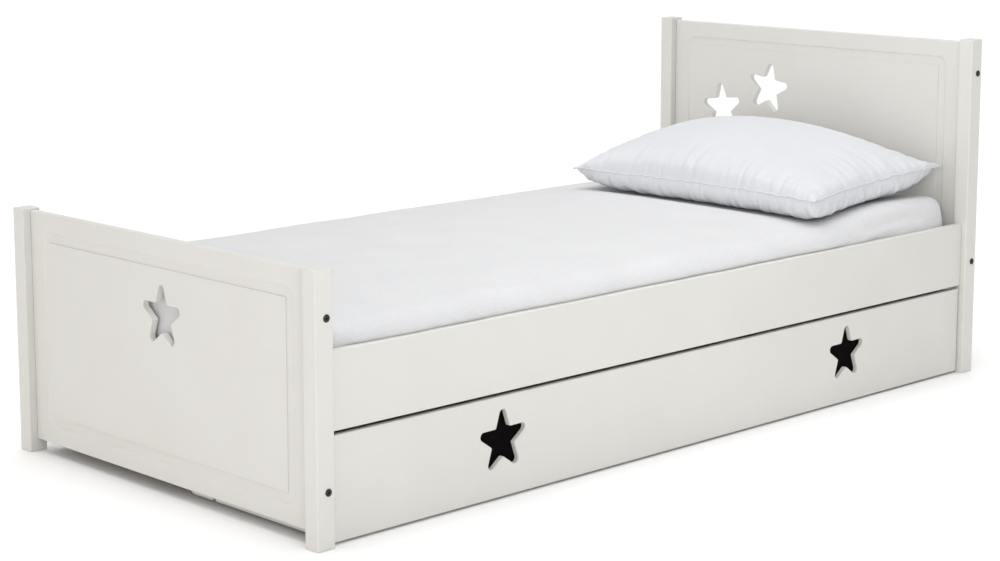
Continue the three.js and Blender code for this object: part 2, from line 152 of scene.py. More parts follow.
class Surface:
    """A material with one Principled shader, and short ways to add texture nodes to it."""

    def __init__(self, name, **sockets):
        self.material = bpy.data.materials.new(name)
        self.material.use_nodes = True
        self.tree = self.material.node_tree
        self.shader = self.tree.nodes["Principled BSDF"]
        for socket, value in sockets.items():
            self.shader.inputs[socket.replace("_", " ")].default_value = value
        self.place = self.node("ShaderNodeTexCoord").outputs["Object"]

    def node(self, kind, **settings):
        made = self.tree.nodes.new(kind)
        for key, value in settings.items():
            setattr(made, key, value)
        return made

    def link(self, source, target):
        self.tree.links.new(source, target)

    def stretched(self, scale, source=None):
        """The object's own coordinates, multiplied along each axis."""
        mapping = self.node("ShaderNodeMapping")
        mapping.inputs["Scale"].default_value = scale
        self.link(source or self.place, mapping.inputs["Vector"])
        return mapping.outputs["Vector"]

    def grain(self, scale, detail=3, roughness=0.55, stretch=(1, 1, 1), distortion=0, source=None):
        """Noise, with `scale` waves to the metre."""
        texture = self.node("ShaderNodeTexNoise")
        texture.inputs["Scale"].default_value = scale
        texture.inputs["Detail"].default_value = detail
        texture.inputs["Roughness"].default_value = roughness
        texture.inputs["Distortion"].default_value = distortion
        self.link(self.stretched(stretch, source), texture.inputs["Vector"])
        return texture.outputs["Fac"]

    def mapped(self, value, low, high, from_low=0.3, from_high=0.7):
        ranged = self.node("ShaderNodeMapRange")
        for socket, number in zip(ranged.inputs[1:5], (from_low, from_high, low, high)):
            socket.default_value = number
        self.link(value, ranged.inputs["Value"])
        return ranged.outputs["Result"]

    def tones(self, value, stops):
        """A colour for each value, between (position, colour) stops."""
        ramp = self.node("ShaderNodeValToRGB")
        elements = ramp.color_ramp.elements
        while len(elements) < len(stops):
            elements.new(0.5)
        for element, (position, colour) in zip(elements, stops):
            element.position = position
            element.color = (*colour, 1)
        self.link(value, ramp.inputs["Fac"])
        return ramp.outputs["Color"]

    def added(self, first, second, share=0.5):
        """first + second * share"""
        scaled = self.node("ShaderNodeMath", operation="MULTIPLY_ADD")
        self.link(second, scaled.inputs[0])
        scaled.inputs[1].default_value = share
        self.link(first, scaled.inputs[2])
        return scaled.outputs[0]

    def colour(self, source):
        self.link(source, self.shader.inputs["Base Color"])

    def roughness(self, source):
        self.link(source, self.shader.inputs["Roughness"])

    def bump(self, height, distance, strength=1.0):
        relief = self.node("ShaderNodeBump")
        relief.inputs["Strength"].default_value = strength
        relief.inputs["Distance"].default_value = distance
        self.link(height, relief.inputs["Height"])
        if self.shader.inputs["Normal"].is_linked:
            self.link(self.shader.inputs["Normal"].links[0].from_socket, relief.inputs["Normal"])
        self.link(relief.outputs["Normal"], self.shader.inputs["Normal"])


def speckled(name, tones, roughness, relief=None, **sockets):
    """A material whose tone, roughness and relief each follow noise with its own (scale, detail)."""
    surface = Surface(name, **sockets)
    scale, dark, light = tones
    surface.colour(surface.tones(surface.grain(*scale), [(0.3, dark), (0.7, light)]))
    scale, smooth, rough = roughness
    surface.roughness(surface.mapped(surface.grain(*scale), smooth, rough))
    if relief:
        scale, distance, strength = relief
        surface.bump(surface.grain(*scale), distance, strength)
    return surface.material


def satin_paint():
    """Sprayed satin paint: a faint orange peel, and hardly any change of tone."""
    paint = Surface("satin_paint", Specular_IOR_Level=0.4)
    paint.colour(paint.tones(
        paint.grain(5, detail=4),
        [(0.3, (0.655, 0.650, 0.617)), (0.7, (0.680, 0.676, 0.645))],
    ))
    paint.roughness(paint.mapped(paint.grain(40), 0.36, 0.5))
    paint.bump(paint.grain(420, detail=2), 0.00012, 0.6)
    paint.bump(paint.grain(55, detail=1), 0.0003, 0.35)
    return paint.material


def bare_wood(name, grain_scale):
    """Pale softwood, its grain drawn out along the board."""
    wood = Surface(name)
    figure = wood.added(
        wood.grain(1, detail=5, stretch=grain_scale, distortion=0.6),
        wood.grain(3, detail=6, roughness=0.7, stretch=grain_scale),
        0.5,
    )
    wood.colour(wood.tones(figure, [
        (0.45, (0.46, 0.29, 0.145)),
        (0.62, (0.63, 0.44, 0.25)),
        (0.8, (0.74, 0.56, 0.355)),
        (0.95, (0.78, 0.61, 0.41)),
    ]))
    wood.roughness(wood.mapped(figure, 0.75, 0.5, 0.4, 1.0))
    wood.bump(wood.grain(6, detail=4, stretch=grain_scale), 0.0004, 0.5)
    return wood.material


def terry_sheet():
    """Stretch terry: short loops in rows along the bed, soft and matt."""
    terry = Surface("terry_sheet", Sheen_Weight=0.25, Sheen_Roughness=0.6, Specular_IOR_Level=0.2)
    rows = terry.grain(1, detail=3, roughness=0.65, stretch=(60, 420, 420))
    terry.colour(terry.tones(
        terry.added(rows, terry.grain(9, detail=3), 0.5),
        [(0.5, (0.585, 0.590, 0.602)), (1.0, (0.645, 0.650, 0.662))],
    ))
    terry.roughness(terry.mapped(rows, 0.88, 1.0))
    terry.bump(terry.grain(900, detail=2), 0.0005, 0.5)
    terry.bump(rows, 0.0008, 0.55)
    return terry.material


def foam_ticking():
    """Close-woven ticking, its ribs running across the bed."""
    ticking = Surface("foam_ticking", Specular_IOR_Level=0.2)
    ticking.colour(ticking.tones(
        ticking.grain(500),
        [(0.3, (0.70, 0.70, 0.71)), (0.7, (0.82, 0.82, 0.83))],
    ))
    ticking.roughness(ticking.mapped(ticking.grain(300), 0.85, 1.0))
    ticking.bump(ticking.grain(1, stretch=(900, 250, 900)), 0.0004, 0.5)
    return ticking.material


THREADS = {"scale": 230, "distortion": 0.6, "detail_scale": 30}


def plain_weave():
    """Fine cotton: crossing threads drawn in the cloth's own flat coordinates, and a faint crinkle."""
    cotton = Surface("plain_weave", Sheen_Weight=0.15, Sheen_Roughness=0.5, Specular_IOR_Level=0.25)
    flat = cotton.node("ShaderNodeUVMap", uv_map="cut").outputs["UV"]
    threads = []
    for direction in ("X", "Y"):
        wave = cotton.node("ShaderNodeTexWave", bands_direction=direction)
        wave.inputs["Scale"].default_value = THREADS["scale"]
        wave.inputs["Distortion"].default_value = THREADS["distortion"]
        wave.inputs["Detail Scale"].default_value = THREADS["detail_scale"]
        cotton.link(flat, wave.inputs["Vector"])
        threads.append(wave.outputs["Fac"])
    weave = cotton.added(threads[0], threads[1], 1.0)
    cotton.colour(cotton.tones(
        cotton.grain(7, detail=3),
        [(0.3, (0.600, 0.610, 0.638)), (0.7, (0.632, 0.642, 0.668))],
    ))
    cotton.roughness(cotton.mapped(cotton.grain(60), 0.8, 0.95))
    cotton.bump(weave, 0.00012, 0.4)
    cotton.bump(cotton.grain(45, detail=3), 0.0012, 0.35)
    return cotton.material


PAINT = satin_paint()
WOOD_ALONG = bare_wood("bare_wood_along", (4, 70, 70))
WOOD_ACROSS = bare_wood("bare_wood_across", (70, 4, 70))
TERRY = terry_sheet()
TICKING = foam_ticking()
COTTON = plain_weave()
# Bright zinc on steel, with the cloudy bloom of plating.
ZINC = speckled(
    "zinc_plate",
    tones=((260, 4), (0.44, 0.45, 0.45), (0.64, 0.64, 0.62)),
    roughness=((900,), 0.24, 0.46),
    relief=((2400, 2), 0.00005, 0.5),
    Metallic=1.0,
)
# Near-black metal for the bolt heads: painted shade, standing in for the dark recess round each head.
SHADE_DARKENED_BOLT = speckled(
    "shade_darkened_bolt",
    tones=((400,), (0.020, 0.022, 0.020), (0.060, 0.064, 0.058)),
    roughness=((500,), 0.28, 0.5),
    relief=((900,), 0.00005, 0.3),
    Metallic=0.8,
)
RUBBER = speckled(
    "tyre_rubber",
    tones=((120,), (0.028, 0.028, 0.03), (0.055, 0.054, 0.055)),
    roughness=((300,), 0.55, 0.8),
    relief=((1500,), 0.0001, 0.6),
)
COTTON_CORD = speckled(
    "cotton_cord",
    tones=((300,), (0.62, 0.625, 0.645), (0.67, 0.675, 0.695)),
    roughness=((300,), 0.85, 0.95),
    relief=((900, 2), 0.0003, 0.5),
    Specular_IOR_Level=0.25,
)
# Near-black cloth: painted shade, standing in for the dark inside the closed trundle.
SHADE_BLACK = speckled(
    "painted_shade_black",
    tones=((300, 5), (0.002, 0.0015, 0.0015), (0.005, 0.004, 0.004)),
    roughness=((200,), 0.9, 1.0),
    relief=((1600, 3), 0.0003, 0.6),
    Specular_IOR_Level=0.05,
)
STUDIO_FLOOR = speckled(
    "studio_floor",
    tones=((2, 2), (0.935, 0.935, 0.935), (0.945, 0.945, 0.945)),
    roughness=((3,), 0.9, 0.95),
    Specular_IOR_Level=0.1,
)

FLOOR_REACH = 30
floor_corners = [(x * FLOOR_REACH, y * FLOOR_REACH, 0) for x, y in ((-1, -1), (1, -1), (1, 1), (-1, 1))]
floor_mesh = bpy.data.meshes.new("floor")
floor_mesh.from_pydata(floor_corners, [], [(0, 1, 2, 3)])
floor_mesh.materials.append(STUDIO_FLOOR)
floor = bpy.data.objects.new("floor", floor_mesh)
scene.collection.objects.link(floor)

# Mesh helpers -----------------------------------------------------------------------------------

TINY = 0.0003  # the least corner radius, and the gap between parts that lie against each other


def add_piece(name, bm, material, slot, body="bed", replaces=()):
    """Turns a bmesh into a piece of the object that rides on a body, and returns it."""
    bmesh.ops.recalc_face_normals(bm, faces=bm.faces)
    mesh = bpy.data.meshes.new(name)
    bm.to_mesh(mesh)
    bm.free()
    mesh.materials.append(material)
    mesh.shade_smooth()
    piece = bpy.data.objects.new(name, mesh)
    scene.collection.objects.link(piece)
    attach(piece, body)
    if replaces:
        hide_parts(*replaces)
    return piece


def even_shading(piece, split_angle):
    """Splits edges sharper than the angle, in degrees, and keeps flat faces flat beside round ones."""
    split = piece.modifiers.new("split", "EDGE_SPLIT")
    split.split_angle = math.radians(split_angle)
    weighted = piece.modifiers.new("weighted", "WEIGHTED_NORMAL")
    weighted.keep_sharp = True


def bridge(bm, first, second):
    """Faces between two closed rings of as many vertices."""
    for index in range(len(first)):
        following = (index + 1) % len(first)
        bm.faces.new((first[index], first[following], second[following], second[index]))


def solid_of_rings(bm, rings):
    """Faces between each ring and the next, and one over each end."""
    for first, second in zip(rings, rings[1:]):
        bridge(bm, first, second)
    bm.faces.new(rings[0])
    bm.faces.new(rings[-1])


def fill_between(bm, outer, holes=()):
    """A flat face with holes, as triangles, between closed rings of vertices."""
    edges = []
    for ring in (outer, *holes):
        for index, vertex in enumerate(ring):
            pair = (vertex, ring[(index + 1) % len(ring)])
            edges.append(bm.edges.get(pair) or bm.edges.new(pair))
    bmesh.ops.triangle_fill(bm, use_beauty=True, edges=edges)


def rounded_rectangle(half, low, high, radius, steps=7):
    """(u, v) points round a rectangle with u from -half to half: as many points for every radius."""
    radius = max(radius, TINY)
    corners = [
        (half - radius, low + radius, -90),
        (half - radius, high - radius, 0),
        (radius - half, high - radius, 90),
        (radius - half, low + radius, 180),
    ]
    points = []
    for centre_u, centre_v, start in corners:
        for step in range(steps + 1):
            angle = math.radians(start + 90 * step / steps)
            points.append((centre_u + radius * math.cos(angle), centre_v + radius * math.sin(angle)))
    return points


STAR = {"tip": 0.064, "tip_round": 0.009, "notch": 0.033, "notch_round": 0.004}


def star_outline(centre_u, centre_v, turn, grow=0.0, tip_steps=9, notch_steps=4):
    """A five-pointed star with round tips and notches, its outline moved outwards by `grow`."""
    half = math.pi / 5
    tip_centre = STAR["tip"] - STAR["tip_round"]
    notch_centre = STAR["notch"] + STAR["notch_round"]
    across = notch_centre * math.cos(half) - tip_centre
    up = notch_centre * math.sin(half)
    swing = math.acos((STAR["tip_round"] + STAR["notch_round"]) / math.hypot(across, up))
    touch = math.atan2(up, across) - swing
    points = []
    for arm in range(5):
        facing = math.pi / 2 + math.radians(turn) + arm * 2 * half
        for steps, heading, reach, radius, start, end in (
            (tip_steps, facing, tip_centre, STAR["tip_round"] + grow, -touch, touch),
            (notch_steps, facing + half, notch_centre, STAR["notch_round"] - grow,
             touch + math.pi, 2 * half - touch + math.pi),
        ):
            for step in range(steps + 1):
                angle = facing + start + (end - start) * step / steps
                points.append((
                    centre_u + reach * math.cos(heading) + radius * math.cos(angle),
                    centre_v + reach * math.sin(heading) + radius * math.sin(angle),
                ))
    return points


def circle_outline(centre_u, centre_v, radius, sides=24):
    turns = [2 * math.pi * side / sides for side in range(sides)]
    return [(centre_u + radius * math.cos(turn), centre_v + radius * math.sin(turn)) for turn in turns]


# Painted boards with star holes -----------------------------------------------------------------

EASE = 0.002  # rounding of the painted edges
EASE_STEPS = 4
CORNER = 0.0026  # rounding of the boards' corners, seen from the front
SPLIT_ANGLE = {"board": 50, "small": 40}


def eased_depths(thickness, ease=EASE, steps=EASE_STEPS):
    """(inset, depth) pairs from one face of a board over its eased edges to the other face."""
    quarter = [math.pi / 2 * step / steps for step in range(steps + 1)]
    near = [(ease * (1 - math.sin(turn)), ease * (1 - math.cos(turn))) for turn in quarter]
    return near + [(inset, thickness - depth) for inset, depth in reversed(near)]


def star_board(
    name, node, to_world, half, low, high, thickness, stars, border=None, back_holes=(), **piece
):
    """A painted board with star holes through it, and, where `border` is given, a routed border."""
    bm = bmesh.new()

    def ring(points, depth):
        return [bm.verts.new(to_world(u, v, depth)) for u, v in points]

    outer = [
        ring(rounded_rectangle(half - inset, low + inset, high - inset, CORNER - inset), depth)
        for inset, depth in eased_depths(thickness)
    ]
    holes = [
        [ring(star_outline(*star, grow=inset), depth) for inset, depth in eased_depths(thickness)]
        for star in stars
    ]
    for rings in (outer, *holes):
        for first, second in zip(rings, rings[1:]):
            bridge(bm, first, second)
    field = outer[0]
    if border:
        for inset, depth, radius in border["profile"]:
            points = rounded_rectangle(
                half - border["side"] - inset,
                low + border["end"] + inset,
                high - border["end"] - inset,
                radius,
            )
            following = ring(points, depth)
            bridge(bm, field, following)
            field = following
    fill_between(bm, field, [rings[0] for rings in holes])
    sockets = []
    for centre_u, centre_v, radius, depth in back_holes:
        mouth = ring(circle_outline(centre_u, centre_v, radius), thickness)
        end = ring(circle_outline(centre_u, centre_v, radius), thickness - depth)
        bridge(bm, mouth, end)
        bm.faces.new(end)
        sockets.append(mouth)
    fill_between(bm, outer[-1], [rings[-1] for rings in holes] + sockets)
    made = add_piece(name, bm, PAINT, "painted_wood", replaces=(node,), **piece)
    even_shading(made, SPLIT_ANGLE["board"])


# The routed border: a cove at its outer edge, a flat floor and a sharp inner edge.
ROUTED = {
    "side": 0.048,
    "end": 0.039,
    "width": 0.022,
    "depth": 0.0024,
    "cove": 0.006,
    "radius": 0.022,
    "lean": 0.0001,
    "bevel": 0.0004,
}
COVE_STEPS = 5


def routed_profile():
    """(inset, depth, corner radius) for each ring of the routed border, from outside to inside."""
    profile = []
    for step in range(COVE_STEPS + 1):
        turn = math.pi / 2 * step / COVE_STEPS
        inset = ROUTED["cove"] * (1 - math.cos(turn))
        profile.append((inset, ROUTED["depth"] * math.sin(turn), ROUTED["radius"] - inset))
    wall = ROUTED["width"]
    profile.append((wall, ROUTED["depth"], TINY))
    profile.append((wall + ROUTED["lean"], ROUTED["bevel"], 2 * TINY))
    profile.append((wall + ROUTED["lean"] + ROUTED["bevel"], 0, 3 * TINY))
    return profile


BORDER = {"side": ROUTED["side"], "end": ROUTED["end"], "profile": routed_profile()}
BARREL_NUT = {
    "radius": 0.005,
    "chamfer": 0.0008,
    "length": 0.01,
    "sunk": 0.0015,
    "hole": 0.0052,
    "hole_depth": 0.013,
    "from_edge": 0.03,
    "centre": 0.0001,  # radius of the point that its two ends close to
}
PANELS = {
    "foot": {"stars": [(0, 0.363, 0)], "bolts": (0.110, 0.436)},
    "head": {"stars": [(0.297, 0.587, -6), (0.141, 0.651, 8.5)], "bolts": (0.276, 0.736)},
}
for end_name, panel in PANELS.items():
    low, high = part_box(f"{end_name}_panel")
    nut_y = high.y - BARREL_NUT["from_edge"]
    nut_places = [(side * nut_y, z) for side in (-1, 1) for z in panel["bolts"]]
    star_board(
        f"{end_name}_panel_board",
        f"{end_name}_panel",
        lambda u, v, depth, face=low.x: (face + depth, u, v),
        high.y,
        low.z,
        high.z,
        high.x - low.x,
        panel["stars"],
        border=BORDER,
        back_holes=[(y, z, BARREL_NUT["hole"], BARREL_NUT["hole_depth"]) for y, z in nut_places],
    )
    nut_profile = [
        (BARREL_NUT["centre"], 0),
        (BARREL_NUT["radius"] - BARREL_NUT["chamfer"], 0),
        (BARREL_NUT["radius"], BARREL_NUT["chamfer"]),
        (BARREL_NUT["radius"], BARREL_NUT["length"]),
        (BARREL_NUT["centre"], BARREL_NUT["length"]),
    ]
    for index, (y, z) in enumerate(nut_places):
        bm = bmesh.new()
        face = high.x - BARREL_NUT["sunk"]
        rings = []
        for radius, depth in nut_profile:
            outline = circle_outline(y, z, radius)
            rings.append([bm.verts.new((face - depth, point_y, point_z)) for point_y, point_z in outline])
        solid_of_rings(bm, rings)
        nut = add_piece(f"{end_name}_barrel_nut_{index + 1}", bm, ZINC, "zinc_steel")
        even_shading(nut, SPLIT_ANGLE["small"])

TRUNDLE_STAR = {"x": 0.553, "z": 0.119, "turn": 1}
low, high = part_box("trundle_front")
star_board(
    "trundle_front_board",
    "trundle_front",
    lambda u, v, depth, face=low.y: (u, face + depth, v),
    high.x,
    low.z,
    high.z,
    high.y - low.y,
    [(side * TRUNDLE_STAR["x"], TRUNDLE_STAR["z"], TRUNDLE_STAR["turn"]) for side in (-1, 1)],
    body="trundle",
)

# A near-black sheet behind the two star holes of the trundle's front: painted shade, standing in for the
# dark inside the closed drawer.

SHADE_SHEET = {"half": 0.081, "thickness": 0.002, "corner": 0.012, "rim": 0.0006}

shade_sheet_profile = [
    (SHADE_SHEET["rim"], 0),
    (0, SHADE_SHEET["rim"]),
    (0, SHADE_SHEET["thickness"] - SHADE_SHEET["rim"]),
    (SHADE_SHEET["rim"], SHADE_SHEET["thickness"]),
]
for index, side in enumerate((-1, 1)):
    bm = bmesh.new()
    rings = []
    for inset, depth in shade_sheet_profile:
        half = SHADE_SHEET["half"] - inset
        bottom, top = TRUNDLE_STAR["z"] - half, TRUNDLE_STAR["z"] + half
        rings.append([
            bm.verts.new((side * TRUNDLE_STAR["x"] + u, high.y + TINY + depth, v))
            for u, v in rounded_rectangle(half, bottom, top, SHADE_SHEET["corner"] - inset)
        ])
    solid_of_rings(bm, rings)
    shade_sheet = add_piece(f"trundle_star_shade_sheet_{index + 1}", bm, SHADE_BLACK, None, body="trundle")
    even_shading(shade_sheet, SPLIT_ANGLE["small"])

# The slats of the trundle: evenly spaced boards with rounded edges, in place of fewer CAD ones.

TRAY_SLATS = {"count": 10, "cad_count": 6, "rim": 0.002, "rim_steps": 3, "corner": 0.004}
cad_slats = [f"trundle_slat_{number + 1}" for number in range(TRAY_SLATS["cad_count"])]
low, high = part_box(cad_slats[0])
slat_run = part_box(cad_slats[-1])[0].x - low.x
half_x, half_y = (high.x - low.x) / 2, (high.y - low.y) / 2
slat_depths = eased_depths(high.z - low.z, TRAY_SLATS["rim"], TRAY_SLATS["rim_steps"])
for index in range(TRAY_SLATS["count"]):
    middle_x = low.x + slat_run * index / (TRAY_SLATS["count"] - 1) + half_x
    middle_y = (high.y + low.y) / 2
    bm = bmesh.new()
    rings = []
    for inset, height in slat_depths:
        end = half_y - inset
        points = rounded_rectangle(half_x - inset, -end, end, TRAY_SLATS["corner"] - inset)
        rings.append([bm.verts.new((middle_x + u, middle_y + v, low.z + height)) for u, v in points])
    solid_of_rings(bm, rings)
    slat = add_piece(
        f"trundle_cross_slat_{index + 1}",
        bm,
        WOOD_ACROSS,
        "bare_wood",
        "trundle",
        cad_slats if index == 0 else (),
    )
    even_shading(slat, SPLIT_ANGLE["small"])

# Soft goods -------------------------------------------------------------------------------------

CLOTH = {"quality": 6, "mass": 0.3, "damping": 1, "gap": 0.003}


def cloth_settings(piece, frames, pressure, stiffness, bending, rest_shape, pinned):
    """Adds Cloth whose springs have the lengths of the rest shape, held at the pinned vertices."""
    group = piece.vertex_groups.new(name="held")
    group.add(pinned, 1.0, "REPLACE")
    cloth = piece.modifiers.new("cloth", "CLOTH")
    settings = cloth.settings
    settings.quality = CLOTH["quality"]
    settings.mass = CLOTH["mass"]
    settings.tension_stiffness = stiffness
    settings.compression_stiffness = stiffness
    settings.shear_stiffness = stiffness / 3
    settings.bending_stiffness = bending
    settings.tension_damping = CLOTH["damping"]
    settings.compression_damping = CLOTH["damping"]
    settings.shear_damping = CLOTH["damping"]
    settings.use_pressure = True
    settings.uniform_pressure_force = pressure
    settings.rest_shape_key = rest_shape
    settings.vertex_group_mass = "held"
    settings.effector_weights.gravity = 0
    cloth.collision_settings.distance_min = CLOTH["gap"]
    cloth.point_cache.frame_start = 1
    cloth.point_cache.frame_end = frames + 1
    return cloth


def simulate(piece, frames):
    """Steps the simulation and leaves its last shape in the piece's own mesh."""
    scene.frame_start = 1
    scene.frame_end = frames + 1
    for number in range(1, frames + 1):
        scene.frame_set(number)
    evaluated = piece.evaluated_get(bpy.context.evaluated_depsgraph_get())
    settled = [vertex.co.copy() for vertex in evaluated.data.vertices]
    piece.modifiers.clear()
    piece.shape_key_clear()
    for vertex, place in zip(piece.data.vertices, settled):
        vertex.co = place
    scene.frame_set(1)


# The pillow: two rectangles of cotton sewn together and stuffed. Its seam is held at the height
# that the stuffing lifts it to, and the cloth between is blown out, so that it gathers at the seam.

PILLOW = {
    "cells": (66, 100),
    "cut": (0.58, 0.86),
    "x": (0.481, 0.977),
    "y": (-0.438, 0.326),
    "tip_z": {(-1, -1): 0.477, (-1, 1): 0.472, (1, -1): 0.511, (1, 1): 0.506},
    "pull": (0.029, 0.020),  # how far the stuffing draws in the middle of each edge
    "lift": 0.002,
    "up": 0.108,
    "fullness": 0.42,
    "slack": 0.3,  # how much less full it is towards the near corner at the head panel
    "lean": (0.18, 0.10),
    "pressure": 2.5,
    "stiffness": 60,
    "bending": 0.02,
    "frames": 24,
}
# Small folds that run in from the seams.
GATHER = {
    "height": 0.017,
    "length": 0.05,
    "width": 0.015,
    "held": 0.78,  # how much of their height the seam takes away
    "rise": 0.012,  # and how far in from it
    "turning": 6,
    "seeds_x": ((0, 3.1), (9, 8.1)),  # for the top and for the underside
    "seeds_y": ((0, 8.7), (7, 13.7)),
}
# How soon the underside drops from the seam, how far it swells out, how far each tip stays thin,
# and the gap that is left above the mattress.
BELLY = {
    "reach": 0.012,
    "out": 0.016,
    "tip": {(-1, -1): 0.015, (-1, 1): 0.08, (1, -1): 0.13, (1, 1): 0.08},
    "rest": 0.003,
}
SUPPORT = {"cells": 40, "margin": 0.08, "gap": 0.002}
# Fine creases of the cotton: some leave the seam, the others are everywhere.
CREASE = {
    "height": 0.0036,
    "under": 1.1,  # how much higher they are on the underside
    "width": 0.010,
    "length": 0.045,
    "seam": 0.006,  # how far in from the seam they have their full height
    "all_over": 0.0004,
    "all_over_width": 0.014,
    "seeds": ((4, 2), (10, 8)),  # for the top and for the underside
}
ON_SEAM = 0.0001  # anything nearer to the seam than this belongs to it
PIPING = {"radius": 0.0018, "sides": 8}

# The mattress, as its cover shows it, and how the pillow and the rail change its shape.
MATTRESS = {
    "middle": (-0.0125, -0.005),
    "half": (0.9875, 0.4575),
    "bottom": 0.2712,
    "top": 0.4285,
    "shoulder": 0.036,
    "shoulder_drop": 0.9,  # its height as a share of its width
    "corner": 0.05,
    "corner_ease": 0.9,  # how much the corner's radius shrinks as the outline moves in
    "bulge": 0.004,
    "crown": (0.008, 0.017),
    "foot_edge": 0.012,
}
DENT = {"depth": 0.009, "slope": 0.07}
HUMP = {"height": 0.030, "start_x": 0.44, "slope_x": 0.34, "start_y": -0.20, "slope_y": 0.22}
OVER_RAIL = {
    "swell": 0.011,
    "rail_top": 0.3675,
    "rise": 0.006,
    "full": 0.01,
    "fade": 0.04,
    "from_post": 0.05,
    "post_slope": 0.07,
}


def smooth_step(share):
    share = min(1, max(0, share))
    return share * share * (3 - 2 * share)


def dent(x, y):
    """How far the pillow sinks into the mattress."""
    share = 1
    for value, (low, high) in ((x, PILLOW["x"]), (y, PILLOW["y"])):
        share *= smooth_step((value - low) / DENT["slope"]) * smooth_step((high - value) / DENT["slope"])
    return DENT["depth"] * share


def hump(x, y):
    """How much the near side is pushed up beside the pillow."""
    along = smooth_step((x - HUMP["start_x"]) / HUMP["slope_x"])
    return HUMP["height"] * along * smooth_step((HUMP["start_y"] - y) / HUMP["slope_y"])


def mattress_height(x, y):
    """Height of the mattress top: a little lower towards its edges and under the pillow."""
    across = abs(y - MATTRESS["middle"][1]) / MATTRESS["half"][1]
    along = abs(x - MATTRESS["middle"][0]) / MATTRESS["half"][0]
    crown = MATTRESS["crown"][0] * along**8 + MATTRESS["crown"][1] * across**4
    return MATTRESS["top"] - crown - dent(x, y) + hump(x, y)


def near_seam(away):
    """How high the folds are at this distance from a seam: low on it, highest just inside it."""
    return math.exp(-away / GATHER["length"]) * (1 - GATHER["held"] * math.exp(-away / GATHER["rise"]))


def fold(across, along, seed):
    shift, plane = seed
    return noise.noise(Vector((across / GATHER["width"], along * GATHER["turning"] + shift, plane)))


def gathers(u, v, panel):
    """Height of the folds that run in from the nearest seams."""
    half_x, half_y = PILLOW["cut"][0] / 2, PILLOW["cut"][1] / 2
    x, y = u * half_x, v * half_y
    folds_x = fold(y, x, GATHER["seeds_x"][panel])
    folds_y = fold(x, y, GATHER["seeds_y"][panel])
    near_x = near_seam((1 - abs(u)) * half_x)
    near_y = near_seam((1 - abs(v)) * half_y)
    return GATHER["height"] * (near_x * folds_x + near_y * folds_y)


def blend(corners, u, v):
    """A value between those given for the four corners."""
    return sum(value * (1 + a * u) * (1 + b * v) / 4 for (a, b), value in corners.items())


def drop_share(deep):
    return 1 - math.exp(-deep)


def pillow_point(u, v, panel):
    """A point of the stuffed pillow. u and v run from -1 to 1; panel 0 is the top and 1 the bottom."""
    room_u, room_v = 1 - u * u, 1 - v * v
    x_low, x_high = PILLOW["x"]
    y_low, y_high = PILLOW["y"]
    x = (x_low + x_high) / 2 + (x_high - x_low) / 2 * u - PILLOW["pull"][0] * u * room_v
    y = (y_low + y_high) / 2 + (y_high - y_low) / 2 * v - PILLOW["pull"][1] * v * room_u
    seam = blend(PILLOW["tip_z"], u, v)
    seam += PILLOW["lift"] * max(room_u * v * v, room_v * u * u)
    slack = PILLOW["slack"] * (1 + u) * (1 - v) / 4
    fill = max(room_u * room_v, 0) ** (PILLOW["fullness"] + slack)
    if panel == 0:
        lean = 1 + PILLOW["lean"][0] * u + PILLOW["lean"][1] * v
        return (x, y, seam + PILLOW["up"] * fill * lean + gathers(u, v, 0))
    deep_x = (1 - abs(u)) * PILLOW["cut"][0] / 2 / BELLY["reach"]
    deep_y = (1 - abs(v)) * PILLOW["cut"][1] / 2 / BELLY["reach"]
    thin = blend(BELLY["tip"], u, v)
    from_tip = (deep_x + deep_y) * BELLY["reach"] / thin
    swell = BELLY["out"] * (1 - math.exp(-(from_tip**2)))
    drop = drop_share(deep_x) * drop_share(deep_y) * drop_share(from_tip)
    x += math.copysign(swell * deep_x * math.exp(1 - deep_x) * drop_share(deep_y), u)
    y += math.copysign(swell * deep_y * math.exp(1 - deep_y) * drop_share(deep_x), v)
    height = seam - mattress_height(x, y) - BELLY["rest"]
    return (x, y, seam - height * drop - gathers(u, v, 1) * (1 - drop / 2))


def pillow_support():
    """The top of the mattress around the pillow, for the pillow to rest on while it is simulated."""
    cells = SUPPORT["cells"]
    lines = []
    for low, high in (PILLOW["x"], PILLOW["y"]):
        start, length = low - SUPPORT["margin"], high - low + 2 * SUPPORT["margin"]
        lines.append([start + length * step / cells for step in range(cells + 1)])
    points = [(x, y, mattress_height(x, y)) for x in lines[0] for y in lines[1]]
    faces = []
    for i in range(cells):
        for j in range(cells):
            first = i * (cells + 1) + j
            faces.append((first, first + cells + 1, first + cells + 2, first + 1))
    mesh = bpy.data.meshes.new("pillow_support")
    mesh.from_pydata(points, [], faces)
    support = bpy.data.objects.new("pillow_support", mesh)
    scene.collection.objects.link(support)
    support.modifiers.new("collision", "COLLISION")
    support.collision.thickness_outer = SUPPORT["gap"]
    return support


